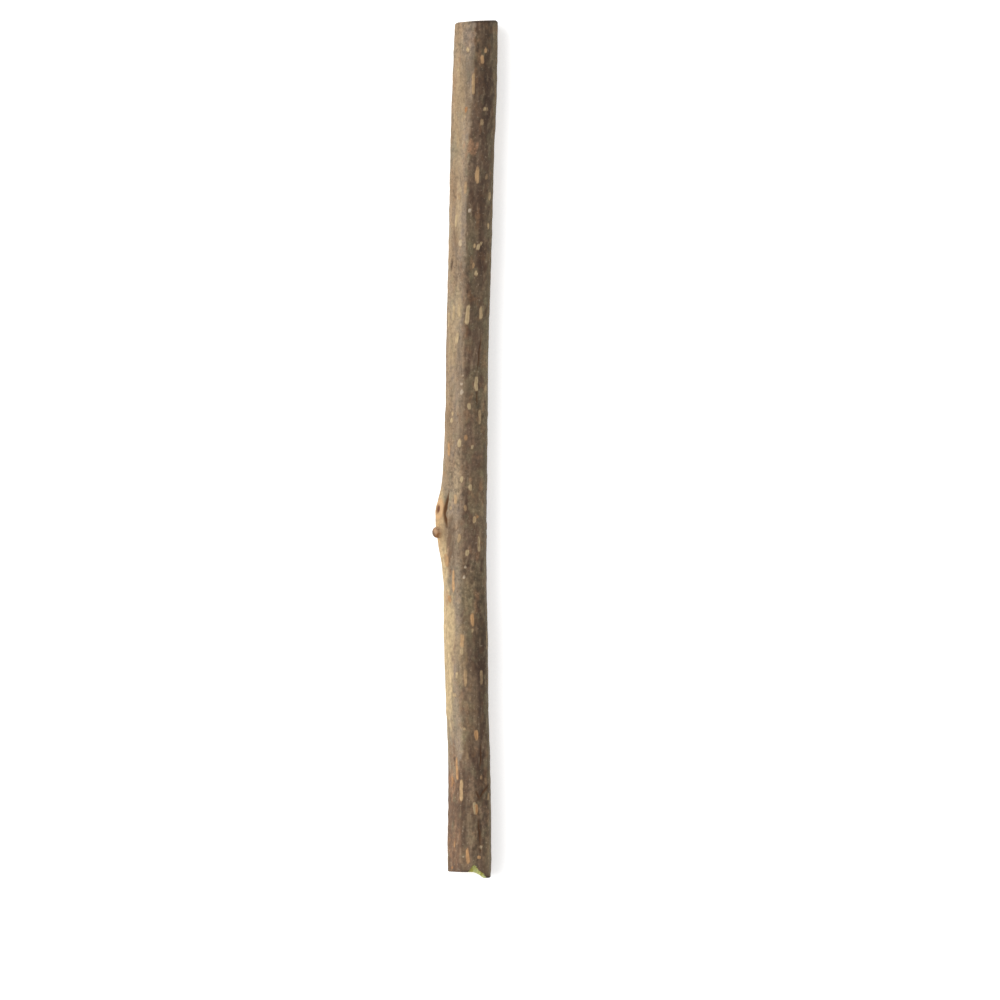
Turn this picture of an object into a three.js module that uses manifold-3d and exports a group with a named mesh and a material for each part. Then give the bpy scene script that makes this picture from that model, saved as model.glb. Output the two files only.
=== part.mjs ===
// A silvervine stick: one length cut from a woody climbing vine, with its bark on.
// Millimetres, +Z up. The stick lies along Y on its flattest side, with its squarer cut at +Y.
// The origin is on the surface, under the middle of the stick's box.
// The stick grew as one piece, so it is one solid: stem, leaf cushion, leaf scar, bud and lenticels.
import * as THREE from "three";
import { mergeVertices } from "three/addons/utils/BufferGeometryUtils.js";
import Module from "manifold-3d";

const wasm = await Module();
wasm.setup();

// Lengthways, from the longer lip of the rough cut to the far corner of the square cut.
const STICK_LENGTH = 120;
const HALF_LENGTH = STICK_LENGTH / 2;

// The two edges of the bark from above, as [Y, left edge X, right edge X].
const OUTLINE = [
  [-60, -2.4, 3.6],
  [-57, -2.46, 3.65],
  [-50, -2.38, 3.61],
  [-42, -2.43, 3.45],
  [-36, -2.68, 3.26],
  [-26, -3.0, 3.19],
  [-20, -3.0, 3.04],
  [-11, -3.03, 3.02],
  [0, -2.94, 3.13],
  [7, -2.72, 3.21],
  [14, -2.66, 3.28],
  [28, -2.31, 3.71],
  [42, -2.05, 4.07],
  [49, -1.85, 4.39],
  [60, -1.4, 4.55],
];

// The stem is softly five-sided, because its leaves stand in a two-fifths spiral.
// [Y, angle of the upper ridge from straight up, how far the corners stand out as a share of the radius]
const CORNERS = 5;
const CORNER_SHARPNESS = 0.1;
const RIDGE = [
  [-60, -20, 0.036],
  [-42, -19, 0.04],
  [-28, -15, 0.034],
  [-14, -12, 0.026],
  [0, -11, 0.03],
  [14, -12, 0.042],
  [33, -14, 0.046],
  [46, -8, 0.048],
  [60, -3, 0.044],
];

// The stick lies on its lowest side, whose middle is flat: [Y, how deep the flat is cut into the section].
const FLAT = [
  [-60, 0.03],
  [-48, 0.08],
  [-30, 0.04],
  [-8, 0.07],
  [24, 0.03],
  [48, 0.08],
  [60, 0.04],
];

// Long shallow flutes in the dried bark: [how many round the stem, depth, turns along the stick].
const FLUTES = [
  [7, 0.03, 0.4],
  [9, 0.028, -0.7],
  [13, 0.022, 0.5],
];

// The leaf cushion on the left side: [Y, height above the stem, half width].
const NODE_ANGLE = -82;
const CUSHION = [
  [-19.5, 0, 0.8],
  [-17, 0.2, 1],
  [-15.5, 0.38, 1.15],
  [-14.1, 0.66, 1.3],
  [-12.7, 0.86, 1.45],
  [-10, 1.12, 1.65],
  [-8.4, 1.18, 1.7],
  [-7.1, 0.84, 1.6],
  [-5.7, 0.46, 1.4],
  [-4.3, 0.28, 1.2],
  [-2.5, 0.15, 1],
  [0, 0, 0.8],
];
const LEAF_SCAR = { y: -8.7, angle: -76, length: 3, width: 1.9, rise: 0.06, sink: 0.25 };
const SCAR_PIT = { length: 1.6, width: 0.9, depth: 0.32 };
const BUD = { y: -11.5, angle: -80, radius: 0.62, height: 1.01 };
const FOLD = { y: -8.6, angle: -53, length: 5.6, width: 0.5, depth: 0.14 }; // beside the cushion

// The cuts. The rough one steps out to a lip on its right, and a chip of bark is gone from its edge.
const SQUARE_CUT = { rise: 0.32, bevel: 0.34 };
const ROUGH_CUT = { step: 0.84, from: 0.3, to: 2.6, bevel: 0.16 };
const CUT_REACH = 4; // how far up the stem the slant of a cut is felt
const BARK_THICKNESS = 0.32;
// The broken edge of the bark round the chip, from above: [X, Y].
const CHIP_EDGE = [
  [0.35, -59.1],
  [1.16, -58.15],
  [1.65, -58.55],
  [2.1, -59],
  [2.65, -59.4],
  [3.1, -60.1],
];

// Lenticels, the raised corky pores, where the eye meets them from above: [X, Y, length, width].
const LENTICELS_ABOVE = [
  [2.95, 55.7, 1, 0.6],
  [2.45, 54.4, 1.2, 0.55],
  [0.4, 55.8, 0.8, 0.6],
  [1.2, 51, 3.2, 0.45],
  [0.2, 47.5, 0.9, 0.55],
  [2.4, 45.7, 1.1, 0.6],
  [1.8, 38.3, 2.5, 0.6],
  [0.1, 36.6, 2.1, 0.42],
  [-0.85, 35.3, 1.2, 0.5],
  [3.3, 35.3, 1.5, 0.5],
  [-1.3, 31.8, 2.1, 0.5],
  [-0.65, 28.8, 1.1, 0.55],
  [1.9, 28.2, 1, 0.5],
  [1.55, 24.5, 0.9, 0.5],
  [-1.6, 18.9, 2.8, 0.45],
  [-0.85, 19.2, 2, 0.5],
  [0.4, 18.8, 2.9, 0.55],
  [2.25, 19, 2, 0.55],
  [-1.2, 15.4, 2, 0.6],
  [1.6, 9.1, 2.4, 0.7],
  [-0.4, 7.9, 0.9, 0.5],
  [0.6, 5.9, 1, 0.5],
  [-1.95, 3.9, 1.3, 0.45],
  [2.1, 4.5, 2.2, 0.45],
  [0.1, 1.6, 1, 0.55],
  [-0.7, 0.8, 1.2, 0.5],
  [-2.2, 0, 2, 0.45],
  [0.8, -5.4, 1.1, 0.55],
  [-1.3, -7.1, 1.6, 0.5],
  [0.05, -8.3, 1.1, 0.45],
  [1.3, -9.9, 1.1, 0.55],
  [-0.75, -12.6, 1.4, 0.5],
  [1.95, -13.4, 2.4, 0.5],
  [0.3, -14.5, 1, 0.6],
  [-1.65, -18.4, 3.5, 0.5],
  [1.1, -23.9, 2, 0.5],
  [-0.4, -26.9, 2.6, 0.5],
  [0.1, -32.1, 2.8, 0.5],
  [2.25, -32, 2.2, 0.5],
  [1.6, -40, 1.6, 0.7],
  [-1.15, -44.8, 3.4, 0.5],
  [-0.45, -47.8, 3.4, 0.6],
  [2.3, -46, 1, 0.5],
  [1.5, -50.3, 1.8, 0.7],
  [0.4, -56.9, 2.9, 0.55],
  [2.05, -57.1, 0.8, 0.55],
];
// The sides and the back have as many again, spread evenly: angles, places and sizes step by fixed turns.
const LENTICELS_HIDDEN = 36;
const HIDDEN = {
  from: 72,
  to: 288,
  turn: 0.382,
  lowest: -0.8,
  reach: 56,
  shortest: 1,
  longest: 2.8,
  width: 0.5,
};
const LENTICEL = { rise: 0.09, sink: 0.06 };

// Lengthways splits where the bark has shrunk: [angle from straight up, Y, length].
const CRACKS = [
  [34, -43, 4],
  [32, -53.4, 4.2],
  [35, 13.9, 3.7],
  [118, 27, 5],
  [-128, -34, 6],
  [140, -12, 4.5],
  [-100, 41, 5],
];
const CRACK = { width: 0.34, depth: 0.13 };

// How finely the stem is faceted.
const SIDES = 36;
const ROW_STEP = 3.3;
const NODE_ROW_STEP = 0.95;
const END_ROW_STEP = 0.16;
const ROW_GROWTH = 0.35;
const CAP_RINGS = [0, 0.3, 0.62, 0.88];

const GOLDEN = (Math.sqrt(5) - 1) / 2;
const { degToRad: radians, smoothstep, clamp, lerp } = THREE.MathUtils;

// A smooth curve through rows of [y, value, ...], read at y in the given column.
function along(rows, y, column = 1) {
  const last = rows.length - 1;
  const at = clamp(y, rows[0][0], rows[last][0]);
  let i = 0;
  while (i < last - 1 && rows[i + 1][0] < at) i++;
  const slope = (k) => {
    const [before, after] = [rows[Math.max(k - 1, 0)], rows[Math.min(k + 1, last)]];
    return (after[column] - before[column]) / (after[0] - before[0]);
  };
  const span = rows[i + 1][0] - rows[i][0];
  const t = (at - rows[i][0]) / span;
  const [a, b] = [rows[i][column], rows[i + 1][column]];
  const [ease, rest] = [t * t * (3 - 2 * t), 1 - t];
  return a + (b - a) * ease + span * t * rest * (rest * slope(i) - t * slope(i + 1));
}

// The bare section, as a radius of about 1. The lowest side always faces straight down.
function sectionRadius(angle, y) {
  const ridge = radians(along(RIDGE, y));
  const turned = CORNERS * (angle - (ridge * (1 + Math.cos(angle))) / 2);
  const corners = Math.cos(turned) + CORNER_SHARPNESS * Math.cos(2 * turned);
  return 1 + along(RIDGE, y, 2) * corners;
}

// The section's scale and centre at y, so that it fills the outline and lies on its lowest side.
const fitted = new Map();
function fitAt(y) {
  if (fitted.has(y)) return fitted.get(y);
  const box = new THREE.Box2();
  for (let degree = 0; degree < 360; degree += 2) {
    const angle = radians(degree);
    const r = sectionRadius(angle, y);
    box.expandByPoint(new THREE.Vector2(r * Math.sin(angle), r * Math.cos(angle)));
  }
  const [left, right] = [along(OUTLINE, y, 1), along(OUTLINE, y, 2)];
  const scale = (right - left) / (box.max.x - box.min.x);
  const z = -along(FLAT, y) - box.min.y * scale;
  const fit = { scale, x: left - box.min.x * scale, z };
  fitted.set(y, fit);
  return fit;
}

// The flutes die out towards the side that the stick lies on.
function flutes(angle, y) {
  const waves = FLUTES.map(([count, depth, turns]) => {
    const drift = (turns * 2 * Math.PI * y) / STICK_LENGTH;
    return depth * Math.cos(count * angle + drift + count);
  });
  const fade = smoothstep(Math.cos(angle), -0.9, -0.4);
  return fade * waves.reduce((sum, wave) => sum + wave, 0);
}

function cushion(angle, y) {
  const around = (angle - radians(NODE_ANGLE)) * fitAt(y).scale;
  const t = Math.abs(around) / along(CUSHION, y, 2);
  return t < 1 ? along(CUSHION, y, 1) * (1 - t * t) ** 1.5 : 0;
}

// How far each cut stands off a plain square one at x.
function squareCut(x) {
  const [left, right] = [along(OUTLINE, HALF_LENGTH, 1), along(OUTLINE, HALF_LENGTH, 2)];
  return SQUARE_CUT.rise * ((x - right) / (right - left));
}
function roughCut(x) {
  return ROUGH_CUT.step * (1 - smoothstep(x, ROUGH_CUT.from, ROUGH_CUT.to));
}

// A point at an angle from straight up and a height over the bark, at the Y it has before the cuts.
// Nothing reaches below the surface that the stick lies on.
function barkPoint(angle, y, over = 0) {
  const { scale, x, z } = fitAt(y);
  const fromCut = HALF_LENGTH - Math.abs(y);
  const bevel = y > 0 ? SQUARE_CUT.bevel : ROUGH_CUT.bevel;
  const inset = bevel * clamp(1 - fromCut / bevel, 0, 1) ** 2;
  const bare = scale * sectionRadius(angle, y);
  const radius = bare + flutes(angle, y) + cushion(angle, y) - inset + over;
  const across = x + bare * Math.sin(angle);
  const felt = clamp(1 - fromCut / CUT_REACH, 0, 1);
  const cutY = y + felt * (y > 0 ? squareCut(across) : roughCut(across));
  const height = z + radius * Math.cos(angle);
  return new THREE.Vector3(x + radius * Math.sin(angle), cutY, Math.max(height, 0));
}

// A point of a cut face, a share of the way from its middle to the bark.
function cutPoint(angle, share, y, over) {
  const { x, z } = fitAt(y);
  const rim = barkPoint(angle, y, over);
  const px = lerp(x, rim.x, share);
  const pz = lerp(z, rim.z, share);
  return new THREE.Vector3(px, y + (y > 0 ? squareCut(px) : roughCut(px)), pz);
}

// The rows of facets from cut to cut, closer together at the ends and round the node.
function rowPlaces() {
  const rows = [-HALF_LENGTH];
  while (rows.at(-1) < HALF_LENGTH) {
    const y = rows.at(-1);
    const fromCut = HALF_LENGTH - Math.abs(y);
    const nearNode = y > CUSHION[0][0] && y < CUSHION.at(-1)[0];
    const step = nearNode ? NODE_ROW_STEP : ROW_STEP;
    rows.push(y + Math.min(step, END_ROW_STEP + fromCut * ROW_GROWTH));
  }
  const reach = rows.at(-1) - rows[0];
  return rows.map((y) => ((y - rows[0]) / reach) * STICK_LENGTH - HALF_LENGTH);
}

// A lathed unit bar whose points are then moved out to the bark, or to a height over it.
function stemGeometry(over = 0) {
  const bark = rowPlaces().map((y) => new THREE.Vector2(1, y));
  const rough = CAP_RINGS.map((r) => new THREE.Vector2(r, -HALF_LENGTH));
  const square = CAP_RINGS.map((r) => new THREE.Vector2(r, HALF_LENGTH)).reverse();
  const lathe = new THREE.LatheGeometry([...rough, ...bark, ...square], SIDES);
  lathe.deleteAttribute("normal");
  lathe.deleteAttribute("uv");
  const bar = mergeVertices(lathe);
  const place = bar.getAttribute("position");
  for (let i = 0; i < place.count; i++) {
    const [px, y, pz] = [place.getX(i), place.getY(i), place.getZ(i)];
    const [angle, share] = [Math.atan2(px, pz), Math.hypot(px, pz)];
    const onCut = share < 0.999;
    const p = onCut ? cutPoint(angle, share, y, over) : barkPoint(angle, y, over);
    place.setXYZ(i, p.x, p.y, p.z);
  }
  return bar;
}

// A closed geometry as a solid that can be joined and cut.
function solidFrom(geometry) {
  const plain = geometry.clone();
  plain.deleteAttribute("normal");
  plain.deleteAttribute("uv");
  const merged = mergeVertices(plain);
  const vertProperties = merged.getAttribute("position").array;
  const triVerts = new Uint32Array(merged.index.array);
  return new wasm.Manifold(new wasm.Mesh({ numProp: 3, vertProperties, triVerts }));
}

function geometryFrom(solid) {
  const { vertProperties, triVerts } = solid.getMesh();
  return new THREE.BufferGeometry()
    .setAttribute("position", new THREE.BufferAttribute(vertProperties, 3))
    .setIndex(new THREE.BufferAttribute(triVerts, 1));
}

// A lens that follows the bark: its long axis runs up the stem, and sink lowers its middle.
function lens({ y, angle, length, width }, rise, sink = 0, facets = 6) {
  const middle = barkPoint(angle, y, -sink);
  const ahead = barkPoint(angle, y + length / 4, -sink);
  const upStem = barkPoint(angle, y - length / 4, -sink).sub(ahead).negate().normalize();
  const out = new THREE.Vector3(Math.sin(angle), 0, Math.cos(angle));
  const across = new THREE.Vector3().crossVectors(upStem, out).normalize();
  out.crossVectors(across, upStem);
  const place = new THREE.Matrix4().makeBasis(across, upStem, out).setPosition(middle);
  return new THREE.SphereGeometry(1, facets, Math.round(facets * 0.7))
    .scale(width / 2, length / 2, rise + sink)
    .applyMatrix4(place);
}

// The angle round the stem that is seen at x from above.
function angleAt(x, y) {
  const { scale, x: middle } = fitAt(y);
  return Math.asin(clamp((x - middle) / scale, -0.98, 0.98));
}

function lenticels() {
  const above = LENTICELS_ABOVE.map(([x, y, length, width]) => {
    return { y, angle: angleAt(x, y), length, width };
  });
  const hidden = Array.from({ length: LENTICELS_HIDDEN }, (_, k) => {
    const round = (k * HIDDEN.turn) % 1;
    const angle = radians(lerp(HIDDEN.from, HIDDEN.to, round));
    const y = lerp(-HIDDEN.reach, HIDDEN.reach, (k + 0.5) / LENTICELS_HIDDEN);
    const length = lerp(HIDDEN.shortest, HIDDEN.longest, (k * GOLDEN) % 1);
    return { y, angle, length, width: HIDDEN.width };
  });
  const clearOfNode = ({ y, angle }) => cushion(Math.atan2(Math.sin(angle), Math.cos(angle)), y) === 0;
  const clearOfFlat = ({ angle }) => Math.cos(angle) > HIDDEN.lowest;
  return [...above, ...hidden]
    .filter(clearOfNode)
    .filter(clearOfFlat)
    .map((place) => lens(place, LENTICEL.rise, LENTICEL.sink));
}

function cracks() {
  return CRACKS.map(([degrees, y, length]) => {
    return lens({ y, angle: radians(degrees), length, width: CRACK.width }, CRACK.depth);
  });
}

function leafScar() {
  const place = { ...LEAF_SCAR, angle: radians(LEAF_SCAR.angle) };
  return lens(place, LEAF_SCAR.rise, LEAF_SCAR.sink, 12);
}

function scarPit() {
  const place = { ...SCAR_PIT, y: LEAF_SCAR.y, angle: radians(LEAF_SCAR.angle) };
  return lens(place, SCAR_PIT.depth, 0, 8);
}

function foldBesideCushion() {
  return lens({ ...FOLD, angle: radians(FOLD.angle) }, FOLD.depth, 0, 8);
}

function bud() {
  const angle = radians(BUD.angle);
  const middle = barkPoint(angle, BUD.y, BUD.height - cushion(angle, BUD.y));
  return new THREE.SphereGeometry(BUD.radius, 12, 8).translate(middle.x, middle.y, middle.z);
}

// The missing chip: all that lies over the wood inside the broken edge, seen from above.
function chip() {
  const [first, last] = [CHIP_EDGE[0], CHIP_EDGE.at(-1)];
  const pastTheCut = -HALF_LENGTH - 1;
  const broken = [[first[0], pastTheCut], ...CHIP_EDGE, [last[0], pastTheCut]];
  const outline = new THREE.Shape(broken.map(([x, y]) => new THREE.Vector2(x, y)));
  const depth = along(OUTLINE, -HALF_LENGTH, 2) - along(OUTLINE, -HALF_LENGTH, 1);
  const prism = new THREE.ExtrudeGeometry(outline, { depth, bevelEnabled: false });
  const wood = solidFrom(stemGeometry(-BARK_THICKNESS)).translate([0, -1, 0]);
  return solidFrom(prism.translate(0, 0, depth / 2)).subtract(wood);
}

function silvervineStick() {
  const grown = [stemGeometry(), leafScar(), bud(), ...lenticels()].map(solidFrom);
  const opened = [scarPit(), foldBesideCushion(), ...cracks()].map(solidFrom);
  const whole = wasm.Manifold.union(grown).subtract(wasm.Manifold.union([...opened, chip()]));
  const bark = new THREE.MeshStandardMaterial({ color: 0x85725c, roughness: 0.85, metalness: 0 });
  const stick = new THREE.Mesh(geometryFrom(whole), bark);
  stick.name = "stick";
  return stick;
}

const part = new THREE.Group();
part.add(silvervineStick());

export default part;
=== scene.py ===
import math

import bpy
import numpy as np
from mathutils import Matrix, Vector


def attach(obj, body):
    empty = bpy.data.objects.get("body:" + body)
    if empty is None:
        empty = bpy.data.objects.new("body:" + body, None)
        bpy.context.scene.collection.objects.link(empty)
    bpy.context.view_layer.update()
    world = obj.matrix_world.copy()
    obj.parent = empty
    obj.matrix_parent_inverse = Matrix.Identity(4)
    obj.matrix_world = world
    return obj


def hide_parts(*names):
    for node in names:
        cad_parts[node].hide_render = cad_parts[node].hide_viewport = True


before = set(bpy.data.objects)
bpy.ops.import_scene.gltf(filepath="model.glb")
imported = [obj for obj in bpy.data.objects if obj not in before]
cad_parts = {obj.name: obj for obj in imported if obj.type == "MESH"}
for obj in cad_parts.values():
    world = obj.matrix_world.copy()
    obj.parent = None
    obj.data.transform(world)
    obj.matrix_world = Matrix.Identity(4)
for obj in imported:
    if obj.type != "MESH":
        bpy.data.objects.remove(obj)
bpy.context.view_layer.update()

# The stick is built in millimetres and turned into metres at the end. It lies along Y with its
# square cut at +Y. Angles round it are counted from straight up, towards +X. The tables give
# them in degrees, except where they say radians.
MM = 0.001
rng = np.random.default_rng(7)

# The stem, with the same sizes as the solid
HALF_LENGTH = 60
OUTLINE = (  # Y, left edge X, right edge X, from above
    (-60, -2.4, 3.6), (-57, -2.46, 3.65), (-50, -2.38, 3.61), (-42, -2.43, 3.45),
    (-36, -2.68, 3.26), (-26, -3.0, 3.19), (-20, -3.0, 3.04), (-11, -3.03, 3.02),
    (0, -2.94, 3.13), (7, -2.72, 3.21), (14, -2.66, 3.28), (28, -2.31, 3.71),
    (42, -2.05, 4.07), (49, -1.85, 4.39), (60, -1.4, 4.55),
)
CORNERS = 5
CORNER_SHARPNESS = 0.1
RIDGE = (  # Y, angle of the upper ridge, how far the corners stand out as a share of the radius
    (-60, -20, 0.036), (-42, -19, 0.04), (-28, -15, 0.034), (-14, -12, 0.026), (0, -11, 0.03),
    (14, -12, 0.042), (33, -14, 0.046), (46, -8, 0.048), (60, -3, 0.044),
)
FLAT = (  # Y, how deep the flat that the stick lies on is cut into the section
    (-60, 0.03), (-48, 0.08), (-30, 0.04), (-8, 0.07), (24, 0.03), (48, 0.08), (60, 0.04),
)
FLUTES = ((7, 0.03, 0.4), (9, 0.028, -0.7), (13, 0.022, 0.5))  # how many, depth, turns

# The cuts. The rough cut's slope and the chip's edge were refined after the solid was made
SQUARE_CUT = {"rise": 0.32, "bevel": 0.34}
ROUGH_CUT = {"step": 0.84, "from": 0.9, "to": 2.9, "bevel": 0.16}
CUT_REACH = 4  # how far from the end a cut's slope is felt
BARK_THICKNESS = 0.32
CHIP_EDGE = (  # X, Y
    (0.45, -59.15), (0.8, -58.75), (1.15, -58.15), (1.5, -58.3), (1.76, -58.6), (1.9, -59),
    (2.3, -59.15), (2.7, -59.5), (3.1, -60.1),
)
CHIP_SHOWS = 0.3  # the inner bark shows on faces with more than this share in the chip

# The leaf cushion, leaf scar, bud and crease, refined after the solid was made
NODE_ANGLE = -82
CUSHION = (  # Y, height above the stem, half width
    (-19.5, 0, 0.8), (-17, 0.2, 1), (-15.5, 0.38, 1.1), (-14.1, 0.66, 1.2), (-12.7, 0.86, 1.3),
    (-10.4, 1.14, 1.45), (-8.6, 1.1, 1.5), (-7.1, 0.8, 1.45), (-5.7, 0.46, 1.3),
    (-4.3, 0.28, 1.15), (-2.5, 0.15, 1), (0, 0, 0.8),
)
SCAR = {
    "y": -8.4, "angle": -72, "length": 2.65, "width": 1.5, "above_stem": 1,
    "rim": 0.08, "plate": 0.04, "pit": 0.13, "pit_aside": -0.22,
}
BUD = {
    "y": -11.66, "x": -3.94, "z": 4.12, "radius": 0.65, "stretch": 1.2, "tilt": -58, "fillet": 0.12,
}
FOLD = {  # a fullness under 1 keeps the crease deep to near its ends
    "y": -8.4, "angle": -59, "length": 5.8, "width": 0.36, "depth": 0.17, "bend": 0.045, "lean": 0.06,
    "fullness": 0.7, "stray": 0.03, "uneven": 0.15,
}

# Lenticels seen from above: X, Y, length, width, tone, strength.
# Tone runs from -1, grey white, past 0, pale straw, and 1, orange brown, to 2, rust.
LENTICELS = (
    (0.38, 55.8, 0.65, 0.6, 0.1, 0.9), (2.94, 55.7, 0.85, 0.55, 0.6, 0.8),
    (2.45, 54.4, 1.15, 0.55, 0.7, 0.9), (-0.77, 54.5, 1.1, 0.45, 1, 0.4),
    (-1.04, 53.1, 0.5, 0.4, 0.2, 0.9), (1.2, 51, 3.3, 0.42, 0.5, 0.8),
    (0.17, 47.5, 0.75, 0.5, 1.7, 0.9), (2.76, 47.5, 0.6, 0.5, 0.1, 0.7),
    (3.16, 47.5, 0.5, 0.4, 0, 0.5), (2.41, 45.7, 1, 0.55, 0.3, 0.6),
    (-1.08, 43.3, 2.3, 0.5, 0.1, 0.5), (1.78, 38.4, 2.5, 0.6, 0.6, 0.8),
    (3.02, 38, 1, 0.5, 0.3, 0.4), (0.13, 36.6, 2, 0.42, 0.5, 0.5),
    (-0.9, 35.3, 1.1, 0.5, 0.4, 0.5), (3.35, 35.4, 1.3, 0.5, 0.3, 0.9),
    (0.7, 33.3, 0.5, 0.42, -1, 0.9), (-1.3, 31.9, 2, 0.5, 0.15, 0.8),
    (3.16, 31.2, 0.85, 0.42, 0.3, 0.9), (-0.67, 28.8, 1, 0.55, -0.4, 1),
    (1.33, 28.4, 0.5, 0.42, 0.4, 1), (1.88, 28.2, 0.85, 0.5, 0, 0.9),
    (2.31, 28.8, 0.55, 0.4, 0.1, 0.9), (1.2, 25.6, 0.7, 0.42, 0.6, 0.7),
    (1.55, 24.5, 0.7, 0.5, 0.15, 1), (-0.85, 19.25, 1.8, 0.5, 0.2, 0.8),
    (-1.65, 19, 2.2, 0.42, 0.2, 0.8), (0.39, 18.8, 2.7, 0.55, 0.25, 1),
    (2.27, 19, 1.8, 0.55, 0.3, 0.9), (-2.2, 18.1, 2.2, 0.42, 0.2, 0.8),
    (-1.2, 15.4, 1.7, 0.7, 0, 0.75), (1.6, 9.07, 2, 0.6, 0, 0.85),
    (2.8, 8.5, 1.25, 0.5, 0, 0.7), (-0.45, 9.07, 0.55, 0.42, -0.8, 1),
    (-0.4, 7.9, 0.7, 0.55, -0.8, 0.9), (-0.22, 10.3, 0.4, 0.35, -0.8, 0.7),
    (0.62, 5.94, 0.9, 0.5, -0.1, 1), (-1.83, 5.04, 0.7, 0.42, 0.3, 0.85),
    (-1.93, 3.9, 0.7, 0.42, 0.2, 1), (2.1, 4.5, 2.2, 0.5, 0.3, 0.65),
    (0.13, 1.57, 0.85, 0.55, 0.9, 0.6), (-0.71, 0.77, 1.1, 0.55, 0.1, 1),
    (1.02, 0.28, 0.55, 0.42, -0.3, 0.9), (-2.24, 0, 2, 0.5, 0.8, 0.8),
    (-0.45, -4.3, 0.85, 0.42, 0, 1), (0.8, -5.4, 1, 0.55, 0, 0.8),
    (-1.3, -7.1, 1.4, 0.5, 0.5, 0.85), (-2.06, -8.26, 0.55, 0.42, 0.2, 0.6),
    (0.04, -8.26, 1, 0.42, 0.5, 0.5), (1.29, -9.87, 1, 0.55, 0.4, 1),
    (1.78, -9.5, 0.5, 0.45, 1, 0.7), (-0.77, -12.5, 1.25, 0.5, 0.4, 0.6),
    (1.96, -13.3, 2.2, 0.5, 0, 0.7), (0.31, -14.5, 0.85, 0.6, -0.1, 0.85),
    (-2.55, -15.6, 1.9, 0.8, 0.8, 0.6), (0.08, -16.45, 0.42, 0.42, -0.9, 0.9),
    (-0.1, -17.9, 0.42, 0.4, -1, 1),
    (-1.65, -18.3, 3.4, 0.5, 0.7, 0.85), (-2.2, -20.96, 1.1, 0.55, 1, 0.7),
    (1.1, -23.9, 2, 0.5, 0.8, 1), (1.05, -25.3, 0.6, 0.4, 0, 0.6),
    (-0.36, -26.85, 2, 0.55, 0.6, 0.85), (-0.42, -28.3, 1, 0.55, 0.2, 1),
    (2.94, -26.7, 2.8, 0.42, -0.1, 0.8), (0.08, -32.1, 2.7, 0.5, 0.5, 0.65),
    (2.27, -32, 2.2, 0.5, 0.3, 0.5), (-1.12, -31.6, 0.85, 0.4, 0.2, 0.9),
    (-1.48, -34.4, 0.55, 1, 0.2, 0.6), (0.7, -35, 0.55, 0.35, 0.1, 0.5),
    (-0.06, -39.1, 0.4, 0.38, 0.1, 0.9), (1.6, -40, 1.45, 0.7, 0.9, 1),
    (0.39, -42.9, 1.1, 0.42, 0.2, 0.4), (-1.12, -44.7, 3.2, 0.5, 0.9, 0.75),
    (-1.83, -46.5, 1.7, 0.5, 1.5, 0.7), (-0.45, -47.7, 3.2, 0.5, 0.5, 0.9),
    (2.27, -45.9, 0.85, 0.42, 0.5, 0.5), (2.8, -46.4, 1.1, 0.42, 0.3, 0.35),
    (1.38, -50.2, 1.7, 0.5, 0, 0.9), (1.62, -50.35, 1.5, 0.45, 1.3, 1),
    (3.08, -48.6, 1.1, 0.42, 0.4, 0.6),
    (-1.48, -55.2, 1.1, 0.42, 0.9, 0.6), (0.39, -56.9, 2.9, 0.5, 1, 0.75),
    (2.04, -57.1, 0.65, 0.55, 0.8, 1), (2.3, -55.6, 0.55, 0.42, -0.4, 0.8),
    (-0.22, -57, 0.3, 0.3, -1, 0.7), (-1.88, -58.6, 0.55, 0.5, 1.7, 0.7),
)
WIDEST_SINE = 0.98  # how near the outline a lenticel's middle may lie
# The sides and the back have lenticels of the same kinds, spread by chance: from, to
HIDDEN_COUNT = 130
HIDDEN_LENGTHS = (0.6, 0.9, 1.2, 2, 2.8)
HIDDEN = {
    "stretch": (0.85, 1.2), "width": (0.4, 0.62), "tone": (-0.1, 1), "strength": (0.4, 1),
    "angle": (88, 272), "y": (-57.5, 58),
}
# How a lenticel stands out and splits. The last three are drawn for each: from, to
LENTICEL = {
    "rise": 0.075, "edge": (0.65, 1.3), "ragged": 0.12, "sway": 0.1, "straight": 0.7,
    "slit": 0.05, "slit_width": 0.24, "slit_ends": (0.45, 0.85),
    "blunt": (1.7, 2.7), "lean": (-0.16, 0.16), "waist": (-0.12, 0.12),
}

# Fields of waves for the bark's grain and the wood's rays: how many fit round, how long each is
FIELDS = {
    "ragged": ((6, 22), (1.2, 5)),
    "wrinkled": ((1, 5), (7, 30)),
    "coarse": ((8, 21), (10, 40)),
    "fine": ((20, 44), (4, 15)),
    "bumps": ((14, 40), (3, 14)),
    "flake": ((8, 26), (2.5, 8)),
    "rays": ((12, 40), (3, 9)),
}
WAVES_IN_A_FIELD = 28
FURROW_WIDTH = {"coarse": 0.14, "fine": 0.18}
RELIEF = {"bumps": 0.006, "ragged": 0.014, "coarse": 0.035, "fine": 0.006, "flake": 0.02}
CUT_RELIEF = {"rays": 0.014, "pith": 0.12, "seam": 0.04}

# The paler side left of the upper ridge, and the darker one right of it. Their difference is partly the
# bark's own tint and partly painted light and shade
RIDGE_SOFTNESS = (  # Y, how far the light and dark sides of the ridge run into each other
    (-60, 0.05), (-45, 0.07), (-28, 0.14), (-8, 0.22), (8, 0.2), (16, 0.08), (60, 0.05),
)
SIDE_EDGES = {"far": (-2.1, -1.7), "behind": (1.8, 2.3), "ridge_shade_band": (-0.95, -0.2)}  # in radians
DARK_SHADED_STRIP = (  # the darkest strip of the darker side, partly dark bark and partly painted shade: Y, angle, strength
    (-60, 38, 0), (-50, 40, 0.4), (-42, 42, 0.15), (-33, 46, 0.75), (-24, 48, 0.7), (-15, 32, 0.2),
    (0, 28, 0.1), (9, 24, 0), (17, 30, 0.4), (27, 33, 0.35), (41, 36, 0.7), (60, 32, 1),
)
DARK_SHADED_STRIP_HALF_WIDTH = 0.34  # in radians
PALE_END = -44.9  # below this the pale side turns reddish brown
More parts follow.
